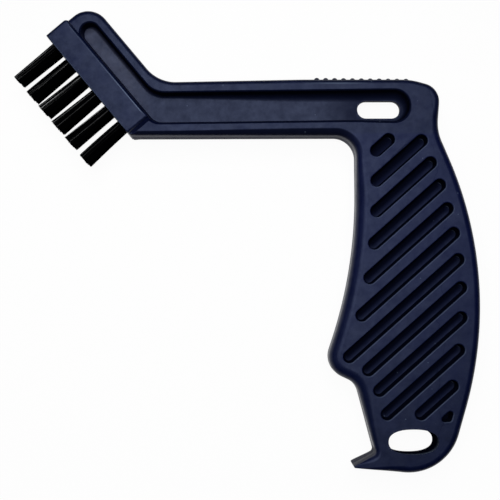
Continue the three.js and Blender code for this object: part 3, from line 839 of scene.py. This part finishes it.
# The cheeks are raised later, and the pockets grow deeper with them
unraised_depth = POCKET_DEPTH * ARM_HALF / GRIP_HALF
pocket_mouths = []
for i, (ring, tip) in enumerate(pockets):
    full_width = tip > POCKET_TIP
    lower_side = np.clip(-inward(ring) @ pocket_across, 0, 1)
    upper_side = np.clip((1 + inward(ring) @ pocket_across) / 2, 0, 1)
    upper_end = np.clip(-inward(ring) @ pocket_way, 0, 1) * full_width
    foot_round = POCKET_FLOOR_ROUND + POCKET_TOP_ROUND * upper_side ** 2 * full_width
    # Painted shade on the upper side of each floor, heaviest in the top pockets
    floor_unshaded = (1 - upper_side) * full_width * min(1, FIRST_UNSHADED + UNSHADED_GAIN * i)
    pocket_floor = np.outer(1 - floor_unshaded, PAINTED_SHADE) + np.outer(floor_unshaded, POCKET)
    painted_glint = POCKET_PAINTED_GLINT * upper_end ** GLINT_NARROWING
    mouth, bottom = cut(half, ring, ARM_HALF, POCKET_MOUTH, unraised_depth, POCKET_DRAFT, foot_round, PAINTED_SHADE,
                        pocket_floor, lip=POCKET_LIP_HIGHLIGHT * lower_side, painted_glint=painted_glint)
    half.cap(bottom)
    pocket_mouths.append(mouth)
print("points in the half skin:", len(half.points))

# %% [markdown]
# ## Faces and mirror
# The flat face is one cap with the mouths of recess and pockets left open. The grip's cheeks stand half a
# millimetre proud of the arm: a soft ramp under the arm lifts everything below it, and a grid of extra
# points lets the face bend there. The second half is its mirror image.

# %% Handle body
RAMP_TOP = 1.0
RAMP_WIDTH = 6.0
RAMP_ROWS = 15
RAMP_SPAN = (-6, 36)
RAMP_GRID = 0.9

grid_x, grid_y = np.meshgrid(np.arange(*RAMP_SPAN, RAMP_GRID),
                             RAMP_TOP - np.linspace(0, RAMP_WIDTH, RAMP_ROWS))
ramp_points = np.column_stack([grid_x.ravel(), grid_y.ravel()])
clear = depth_inside(ramp_points, half.flat(face_edge)) > RIM
for mouth in pocket_mouths:
    clear &= depth_inside(ramp_points, half.flat(mouth)) < -RIM
half.cap(face_edge, [recess_mouth, *pocket_mouths], ramp_points[clear], ARM_HALF)

points = np.array(half.points)
points[:, 2] *= 1 + (GRIP_HALF / ARM_HALF - 1) * ease((RAMP_TOP - points[:, 1]) / RAMP_WIDTH)
below = points * np.array([1, 1, -1])
faces = half.faces + [tuple(i + len(points) for i in face) for face in half.faces]
body_mesh = mesh_of("handle_body", np.vstack([points, below]), faces, half.finish * 2)

# %% [markdown]
# ## Brush block
# The block stands on the front of the head and is wider than the arm. It is laid up from its back to the
# bristle face, with a bored hole for every tuft. Its long edges carry pale painted highlights, most at the
# lower end.

# %% Brush block
BLOCK_HALF = 10.0
BLOCK_FRONT_EDGE = 0.35
BLOCK_BACK_EDGE = 0.9
LONG_EDGE_GAIN = 0.5
BLOCK_TOP_EDGE = 1.6
BLOCK_END_EDGE = 0.5
BLOCK_CORNER = 1.1
BACK_HIGHLIGHT = 0.12
LOW_BACK_HIGHLIGHT = 0.33
LOW_HIGHLIGHT_START = 0.3
LOW_HIGHLIGHT_SPAN = 0.5
BACK_HIGHLIGHT_RING = 7
FRONT_HIGHLIGHT = 0.25
FRONT_HIGHLIGHT_RINGS = (10, 11)
HIGHLIGHT_FADE = 3.0
TUFT_COUNT = 6
TUFT_PITCH = 8.15
ROW_SPACING = 8.0
HOLE_RADIUS = 2.6
HOLE_DEPTH = 7.8
HOLE_MOUTH = 0.2
HOLE_FLOOR_ROUND = 0.3
HOLE_STEPS = 28

first_tuft = (BLOCK_LENGTH - (TUFT_COUNT - 1) * TUFT_PITCH) / 2
tuft_places = [(row, i + 1, first_tuft + i * TUFT_PITCH, side * ROW_SPACING / 2)
               for row, side in (("front", 1), ("rear", -1)) for i in range(TUFT_COUNT)]

block = Skin()
block_outline, _ = rounded([
    ((0, -BLOCK_HALF), BLOCK_CORNER, 0), ((0, BLOCK_HALF), BLOCK_CORNER, 0),
    ((BLOCK_LENGTH, BLOCK_HALF), BLOCK_CORNER, 0), ((BLOCK_LENGTH, -BLOCK_HALF), BLOCK_CORNER, 0),
])
along_block = block_outline[:, 0]
from_corner = np.minimum(along_block, BLOCK_LENGTH - along_block)
long_side = ease((from_corner - BLOCK_CORNER) / HIGHLIGHT_FADE)
lower_half = ease((along_block / BLOCK_LENGTH - LOW_HIGHLIGHT_START) / LOW_HIGHLIGHT_SPAN)
back_edge = np.interp(along_block, [0, BLOCK_CORNER, BLOCK_LENGTH - BLOCK_CORNER, BLOCK_LENGTH],
                      [BLOCK_TOP_EDGE, BLOCK_BACK_EDGE, BLOCK_BACK_EDGE, BLOCK_END_EDGE])
back_edge += LONG_EDGE_GAIN * long_side
sides = [(back_edge + RIM, 0.0)]
sides += [(back_edge * (1 - math.sin(a)), back_edge * (1 - math.cos(a))) for a in quarter]
sides += [(BLOCK_FRONT_EDGE * (1 - math.cos(a)), BLOCK_DEPTH - BLOCK_FRONT_EDGE * (1 - math.sin(a)))
          for a in quarter]
sides.append((BLOCK_FRONT_EDGE + RIM, BLOCK_DEPTH))
levels = []
for i, (inset, height) in enumerate(sides):
    # Pale painted highlight lines along the long edges of the block
    wear_and_highlight = long_side * (BACK_HIGHLIGHT + LOW_BACK_HIGHLIGHT * lower_half) * (i == BACK_HIGHLIGHT_RING)
    wear_and_highlight += FRONT_HIGHLIGHT * long_side * (i in FRONT_HIGHLIGHT_RINGS)
    levels.append((inset, height, np.outer(wear_and_highlight, WEAR_AND_HIGHLIGHT)))
block_rings = block.shell(block_outline, levels)
block.cap(block_rings[0])
hole_ring = HOLE_RADIUS * spokes(-2 * np.pi * np.arange(HOLE_STEPS) / HOLE_STEPS)
hole_mouths = []
for _, _, along_row, side in tuft_places:
    mouth, bottom = cut(block, hole_ring + np.array([along_row, side]), BLOCK_DEPTH, HOLE_MOUTH, HOLE_DEPTH,
                        draft=0.0, floor_round=HOLE_FLOOR_ROUND)
    block.cap(bottom)
    hole_mouths.append(mouth)
block.cap(block_rings[-1], hole_mouths)

along, away = Vector((*down_neck, 0)), Vector((*across_head, 0))
block_place = Matrix((along, (0, 0, 1), -away)).transposed().to_4x4()
block_place.translation = Vector((*on_head(0, BLOCK_DEPTH), 0))
block_mesh = mesh_of("brush_block", block.points, block.faces, block.finish, block_place)

# %% [markdown]
# ## Fillet and through cores
# A small fillet fills the corner between the lower end of the block and the arm. Slot and hang hole go
# right through the handle, so they are made as solid cores to cut with. The core of the hang hole is
# drafted to one side, and a hook has scuffed its lip.

# %% Fillet and cores
FOOT_FILLET = 1.3
FOOT_SINK = 1.2
FOOT_SPAN = (0.2, 9.3)
CORE_REACH = 9.0
SLOT_WALL = 1.4
HANG_WALL = 7.8
HANG_SCUFF = 0.4
SCUFF_DEPTH = 5.0
SCUFF_WAY = np.array([0.6, -0.8])

foot_fillet = Skin()
foot_section = np.array([(FOOT_FILLET, 0), (0, FOOT_FILLET), (-FOOT_SINK, FOOT_FILLET),
                         (-FOOT_SINK, -FOOT_SINK), (FOOT_FILLET, -FOOT_SINK)])
for side in (1, -1):
    section = foot_section * np.array([1, side]) + np.array([BLOCK_LENGTH, side * ARM_HALF])
    fillet_ends = [foot_fillet.ring(section[::side], height) for height in FOOT_SPAN]
    foot_fillet.loft(fillet_ends)
    for end in fillet_ends:
        foot_fillet.cap(end)
fillet_mesh = mesh_of("foot_fillet", foot_fillet.points, foot_fillet.faces, foot_fillet.finish, block_place)

cores = Skin()
hang_scuff = HANG_SCUFF * np.clip(hang_unit @ SCUFF_WAY, 0, 1)
for near, far, wall, scuff in ((slot, slot, SLOT_WALL, 0.0), (hang_hole, hang_rear, HANG_WALL, hang_scuff)):
    core_rings = []
    lip = np.outer(np.broadcast_to(scuff, len(near)), WEAR_AND_HIGHLIGHT)
    for height, paler in ((-CORE_REACH, 0), (-wall, 0), (wall - SCUFF_DEPTH, 0), (wall, 1), (CORE_REACH, 1)):
        share = (1 + height / CORE_REACH) / 2
        # The cores carry painted shade onto the walls they cut
        core_rings.append(cores.ring(share * near + (1 - share) * far, height, np.array(PAINTED_SHADE) + paler * lip))
    cores.loft(core_rings)
    cores.cap(core_rings[0])
    cores.cap(core_rings[-1])
core_mesh = mesh_of("through_cores", cores.points, cores.faces, cores.finish)

# %% [markdown]
# ## The finished handle
# On the real brush all this is one shot of plastic. Booleans join block and fillet to the body and cut the
# cores out. The result becomes a plain mesh in the frame of the solids.

# %% Join the handle
SMOOTH_BELOW = math.radians(38)


def made_plain(piece):
    """The evaluated shape of a piece as a plain mesh, with no modifier left on it."""
    shape = piece.evaluated_get(bpy.context.evaluated_depsgraph_get())
    mesh = bpy.data.meshes.new_from_object(shape)
    piece.modifiers.clear()
    piece.data = mesh
    mesh.name = piece.name
    return mesh


handle = linked("handle", body_mesh)
tools = []
for operation, mesh in (("UNION", block_mesh), ("UNION", fillet_mesh), ("DIFFERENCE", core_mesh)):
    tools.append(linked(mesh.name, mesh))
    join = handle.modifiers.new(operation, "BOOLEAN")
    join.operation = operation
    join.solver = "MANIFOLD"
    join.object = tools[-1]
handle_mesh = made_plain(handle)
for tool in tools:
    bpy.data.objects.remove(tool)
handle_mesh.transform(to_frame)
handle_mesh.shade_smooth()
handle_mesh.set_sharp_from_angle(angle=SMOOTH_BELOW)
handle_mesh.materials.clear()
handle_mesh.materials.append(plastic)
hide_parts("moulded_handle")
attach(handle, "root")
print("handle faces:", len(handle_mesh.polygons))

# %% [markdown]
# ## Thumb ribs
# A row of short round ribs gives the thumb a hold on top of the arm. Geometry Nodes make the row: a sphere
# is drawn out to a capsule, placed on a line of points, and joined to one mesh.

# %% Thumb ribs
RIB_COUNT = 11
RIB_PITCH = 3.6
RIB_RADIUS = 1.25
RIB_SINK = 0.2
RIB_DROP = 0.035
RIB_CENTRE_X = 1.8
RIB_MARGIN = 0.5


def node_group(name, sockets):
    tree = bpy.data.node_groups.new(name, "GeometryNodeTree")
    tree.interface.new_socket("Geometry", in_out="OUTPUT", socket_type="NodeSocketGeometry")
    for label, kind in sockets.items():
        tree.interface.new_socket(label, in_out="INPUT", socket_type=f"NodeSocket{kind}")
    return tree, tree.nodes.new("NodeGroupInput").outputs


def end_tree(tree, shape, material):
    joined = add(tree, "GeometryNodeRealizeInstances", {0: shape})
    dressed = add(tree, "GeometryNodeSetMaterial", {"Geometry": joined, "Material": material})
    add(tree, "NodeGroupOutput", {0: dressed})
    return tree


def grown(name, tree, values):
    """A piece made by a Geometry Nodes tree with these inputs, as a plain mesh."""
    piece = linked(name, bpy.data.meshes.new(name))
    modifier = piece.modifiers.new("grow", "NODES")
    modifier.node_group = tree
    for item in tree.interface.items_tree:
        if item.in_out == "INPUT":
            modifier[item.identifier] = values[item.name]
    made_plain(piece)
    return piece


def rib_tree():
    tree, given = node_group("thumb_ribs", {
        "Count": "Int", "Start": "Vector", "Pitch": "Vector", "Radius": "Float", "Half Length": "Float",
        "Material": "Material",
    })
    ball = add(tree, "GeometryNodeMeshUVSphere", {"Segments": 20, "Rings": 12, "Radius": given["Radius"]})
    axes = add(tree, "SeparateXYZ", {0: add(tree, "GeometryNodeInputPosition")})
    end = add(tree, "Math", {0: axes.outputs["Z"]}, operation="SIGN")
    drawn = add(tree, "Math", {0: end, 1: given["Half Length"]}, operation="MULTIPLY")
    shift = add(tree, "CombineXYZ", {"Z": drawn})
    capsule = add(tree, "GeometryNodeSetPosition", {"Geometry": ball, "Offset": shift})
    places = {"Count": given["Count"], "Start Location": given["Start"], "Offset": given["Pitch"]}
    row = add(tree, "GeometryNodeMeshLine", places)
    placed = add(tree, "GeometryNodeInstanceOnPoints", {"Points": row, "Instance": capsule})
    return end_tree(tree, placed, given["Material"])


rib_start = Vector((RIB_CENTRE_X - (RIB_COUNT - 1) / 2 * RIB_PITCH, ARM_HEIGHT - RIB_SINK, 0))
ribs = grown("thumb_ribs", rib_tree(), {
    "Count": RIB_COUNT, "Start": to_frame @ rib_start, "Pitch": Vector((RIB_PITCH, -RIB_DROP, 0)) * MM,
    "Radius": RIB_RADIUS * MM, "Half Length": (ARM_HALF - ARM_EDGE - RIB_MARGIN - RIB_RADIUS) * MM,
    "Material": plastic,
})
ribs.data.shade_smooth()
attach(ribs, "root")
print("thumb ribs faces:", len(ribs.data.polygons))

# %% [markdown]
# ## Black nylon
# The filaments are drawn nylon with a black pigment. Most of them read as plain black, and a few carry a
# painted highlight as thin grey lines: a lighter colour and more gloss. The attribute named painted_shine
# says how much a filament does so.

# %% Filament material
FULL_GLOSS = 1.6


def black_nylon():
    material, tree = new_material("black_nylon_filament")
    painted_shine = add(tree, "Attribute", attribute_name="painted_shine").outputs["Fac"]
    colour = add(tree, "Mix", {0: painted_shine, 6: linear("#020203"), 7: linear("#2e3134")}, data_type="RGBA")
    gloss = add(tree, "MapRange", {0: painted_shine, 4: FULL_GLOSS})
    shader = add(tree, "BsdfPrincipled", {
        "Base Color": colour, "Roughness": 0.4, "IOR": 1.53, "Specular IOR Level": gloss,
    })
    add(tree, "OutputMaterial", {"Surface": shader})
    return material


nylon = black_nylon()
print(nylon.name, "nodes:", len(nylon.node_tree.nodes))

# %% [markdown]
# ## Tufts of filaments
# A tuft is a bundle of straight filaments, folded in the hole round a flat wire and trimmed at the tip.
# They spread a little and none is quite parallel to the next. Geometry Nodes copy one line for every
# filament, give each its root on a sunflower disc and its own lean, and sweep a small circle along it.

# %% Tufts
TUFT_LENGTH = 20.6
TUFT_ROOT_RADIUS = 2.4
TUFT_TIP_RADII = (1.95, 2.7, 2.85, 3.0, 2.75, 2.9)
TUFT_LEANS = (-0.3, 0.05, -0.4, -0.3, -0.15, 0.9)
FILAMENT_RADIUS = 0.2
FILAMENT_COUNT = 80
FILAMENT_POINTS = 9
FILAMENT_SIDES = 6
FILAMENT_SMOOTH = math.radians(60)
TRIM = 0.4
WANDER = Vector((0.3, 0.3, 0.0))
INNER_FREEDOM = 3.0
OUTER_FREEDOM = 0.5
BEND_POWER = 1.5
SHINE_POWER = 5.5
DARK_SIDE = 0.5
LIT_SIDE = -0.9
ROOT_GAP = 0.6
SEED_STEP = 10
GOLDEN_ANGLE = math.pi * (3 - math.sqrt(5))


def tuft_tree():
    tree, given = node_group("filament_tuft", {
        "Filaments": "Int", "Root Height": "Float", "Shortest": "Float", "Longest": "Float",
        "Root Radius": "Float", "Tip Radius": "Float", "Filament Radius": "Float", "Wander": "Vector",
        "Lean": "Vector", "Painted Shine": "Float", "Seed": "Int", "Material": "Material",
    })
    line = add(tree, "GeometryNodeCurvePrimitiveLine", {"Start": (0, 0, 0), "End": (0, 0, 1)})
    fine = add(tree, "GeometryNodeResampleCurve", {"Curve": line, "Count": FILAMENT_POINTS})
    copies = add(tree, "GeometryNodeDuplicateElements", {"Geometry": fine, "Amount": given["Filaments"]},
                 domain="SPLINE")
    number = copies.outputs["Duplicate Index"]
    drawn = {"ID": number, "Seed": given["Seed"]}

    # How high each point of a filament stands, and how far it has bent by then
    part_way = add(tree, "GeometryNodeSplineParameter")
    length = add(tree, "FunctionNodeRandomValue", {2: given["Shortest"], 3: given["Longest"], **drawn},
                 data_type="FLOAT")
    height = add(tree, "MapRange", {0: part_way, 3: given["Root Height"], 4: length})
    out = add(tree, "MapRange", {0: height, 2: given["Longest"]})
    bend = add(tree, "Math", {0: out, 1: BEND_POWER}, operation="POWER")

    # A root on the sunflower disc, which fans out towards the tip
    share = add(tree, "Math", {0: number, 1: given["Filaments"]}, operation="DIVIDE")
    radius = add(tree, "Math", {0: share}, operation="SQRT")
    spoke = add(tree, "CombineXYZ", {"X": radius})
    angle = add(tree, "Math", {0: number, 1: GOLDEN_ANGLE}, operation="MULTIPLY")
    root = add(tree, "VectorRotate", {"Vector": spoke, "Angle": angle}, rotation_type="Z_AXIS")
    width = add(tree, "MapRange", {0: out, 3: given["Root Radius"], 4: given["Tip Radius"]})
    fan = add(tree, "VectorMath", {0: root, "Scale": width}, operation="SCALE")

    # A lean of its own, freer in the middle of the tuft than at its outside
    chance = add(tree, "FunctionNodeRandomValue", {0: (-1, -1, 0), 1: (1, 1, 0), **drawn},
                 data_type="FLOAT_VECTOR")
    loose = add(tree, "MapRange", {0: radius, 3: INNER_FREEDOM, 4: OUTER_FREEDOM})
    swing = add(tree, "VectorMath", {0: chance, "Scale": loose}, operation="SCALE")
    sway = add(tree, "VectorMath", {0: swing, 1: given["Wander"], 2: given["Lean"]},
               operation="MULTIPLY_ADD")
    rise = add(tree, "CombineXYZ", {"Z": height})
    upright = add(tree, "VectorMath", {0: fan, 1: rise}, operation="ADD")
    swayed = add(tree, "VectorMath", {0: sway, "Scale": bend}, operation="SCALE")
    place = add(tree, "VectorMath", {0: upright, 1: swayed}, operation="ADD")
    laid = add(tree, "GeometryNodeSetPosition", {"Geometry": copies, "Position": place})

    # A few filaments on the lit side of the front row get a painted highlight; the rear row gets none
    luck = add(tree, "FunctionNodeRandomValue", drawn, data_type="FLOAT")
    rare = add(tree, "Math", {0: luck, 1: SHINE_POWER}, operation="POWER")
    across = add(tree, "SeparateXYZ", {0: root})
    lit = add(tree, "MapRange", {0: across, 1: DARK_SIDE, 2: LIT_SIDE, 4: given["Painted Shine"]})
    painted_shine = add(tree, "Math", {0: rare, 1: lit}, operation="MULTIPLY")
    stored = {"Geometry": laid, "Name": "painted_shine", "Value": painted_shine}
    marked = add(tree, "GeometryNodeStoreNamedAttribute", stored, domain="CURVE")
    circle = {"Resolution": FILAMENT_SIDES, "Radius": given["Filament Radius"]}
    section = add(tree, "GeometryNodeCurvePrimitiveCircle", circle)
    tube = {"Curve": marked, "Profile Curve": section, "Fill Caps": True}
    swept = add(tree, "GeometryNodeCurveToMesh", tube)
    return end_tree(tree, swept, given["Material"])


tuft_nodes = tuft_tree()
head_place = block_place.copy()
head_place.translation = (datum + block_place.translation) * MM
for row, number, along_row, side in tuft_places:
    tuft = grown(f"filaments_{row}_{number}", tuft_nodes, {
        "Filaments": FILAMENT_COUNT, "Root Height": (ROOT_GAP - HOLE_DEPTH) * MM,
        "Shortest": (TUFT_LENGTH - TRIM) * MM, "Longest": TUFT_LENGTH * MM,
        "Root Radius": (TUFT_ROOT_RADIUS - FILAMENT_RADIUS) * MM,
        "Tip Radius": (TUFT_TIP_RADII[number - 1] - FILAMENT_RADIUS) * MM,
        "Filament Radius": FILAMENT_RADIUS * MM, "Wander": WANDER * MM,
        "Lean": Vector((TUFT_LEANS[number - 1], 0, 0)) * MM, "Painted Shine": float(row == "front"),
        "Seed": SEED_STEP * number + (row == "rear"), "Material": nylon,
    })
    station = Matrix.Translation(Vector((along_row, side, BLOCK_DEPTH)) * MM)
    tuft.data.transform(head_place @ station)
    tuft.data.shade_smooth()
    tuft.data.set_sharp_from_angle(angle=FILAMENT_SMOOTH)
    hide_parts(f"tuft_{row}_{number}")
    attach(tuft, "root")
print("filaments in a tuft:", FILAMENT_COUNT, "faces:", len(tuft.data.polygons))

# %% [markdown]
# ## Anchor wire
# A piece of flat steel wire across each hole holds the folded tuft. It hides in the block, so its solid
# stays as it is and only gets the finish of drawn wire: a grey metal with a fine uneven gloss.

# %% Anchors
STREAK_SIZE = 0.3
WIRE_ROUGHNESS = (0.25, 0.4)

wire, tree = new_material("drawn_steel_wire")
place = add(tree, "TexCoord").outputs["Object"]
streak = add(tree, "TexNoise", {"Vector": place, "Scale": 1 / (STREAK_SIZE * MM), "Detail": 2.0})
rough = add(tree, "MapRange", {0: streak, 3: WIRE_ROUGHNESS[0], 4: WIRE_ROUGHNESS[1]})
steel = add(tree, "BsdfPrincipled", {"Base Color": linear("#9c9a92"), "Metallic": 1.0, "Roughness": rough})
add(tree, "OutputMaterial", {"Surface": steel})
for row, number, _, _ in tuft_places:
    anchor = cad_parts[f"anchor_{row}_{number}"]
    anchor.data.materials.clear()
    anchor.data.materials.append(wire)
print("wire anchors:", len(tuft_places))
